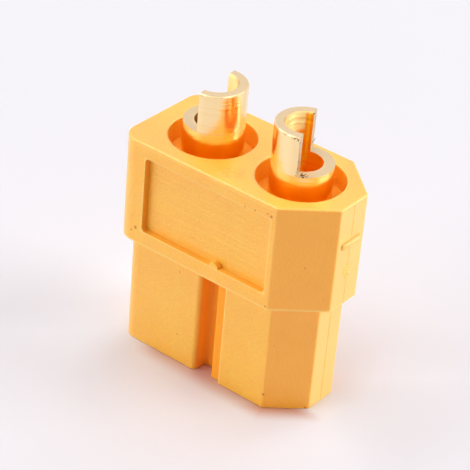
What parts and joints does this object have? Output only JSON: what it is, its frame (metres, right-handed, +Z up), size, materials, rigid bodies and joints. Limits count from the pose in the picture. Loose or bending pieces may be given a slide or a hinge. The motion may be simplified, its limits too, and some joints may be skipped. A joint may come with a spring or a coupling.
{
  "type": "battery connector socket",
  "caption": "Keyed battery connector half: moulded orange body with one chamfered end, gold sockets below and half-cut solder cups on top.",
  "frame": {"origin": "middle of the plug's tip, on the plane it stands on, in the body's mid planes", "axes": "+X along the width towards the chamfered end, +Y through the thickness away from the front face, +Z up along the contacts from the sockets to the solder cups"},
  "size_m": [0.016, 0.0082, 0.02],
  "materials": {
    "moulded_nylon": "satin moulded",
    "gold_plated_brass": "turned and gold plated"
  },
  "bodies": {
    "root": {"housing": "moulded_nylon", "positive_contact": "gold_plated_brass", "negative_contact": "gold_plated_brass"}
  },
  "joints": []
}
